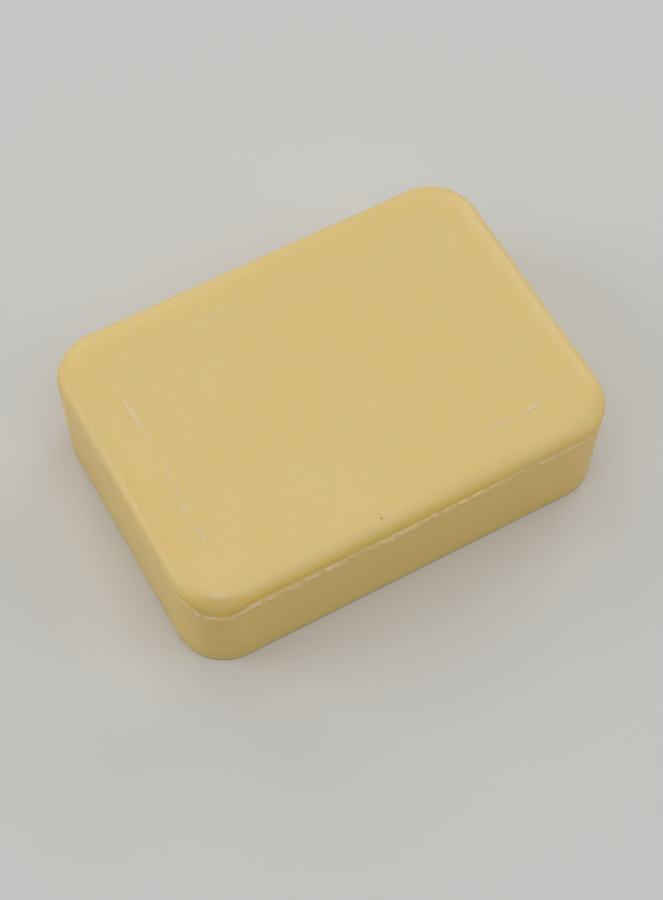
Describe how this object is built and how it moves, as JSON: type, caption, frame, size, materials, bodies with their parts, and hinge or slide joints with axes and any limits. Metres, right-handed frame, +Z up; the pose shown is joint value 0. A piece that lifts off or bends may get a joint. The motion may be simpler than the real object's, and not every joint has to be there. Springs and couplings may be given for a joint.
{
  "type": "detailing clay bar",
  "caption": "Rectangular block of pale yellow detailing clay with rounded corners, a rolled top edge, a mould parting line and a scored outline on top.",
  "frame": {"origin": "middle of the flat underside", "axes": "+X along the length, +Y across the width, +Z up through the thickness, out of the scored top"},
  "size_m": [0.0904, 0.065, 0.0252],
  "materials": {
    "clay": "satin, waxy polishing clay"
  },
  "bodies": {
    "root": {"clay_bar": "clay"}
  },
  "joints": []
}
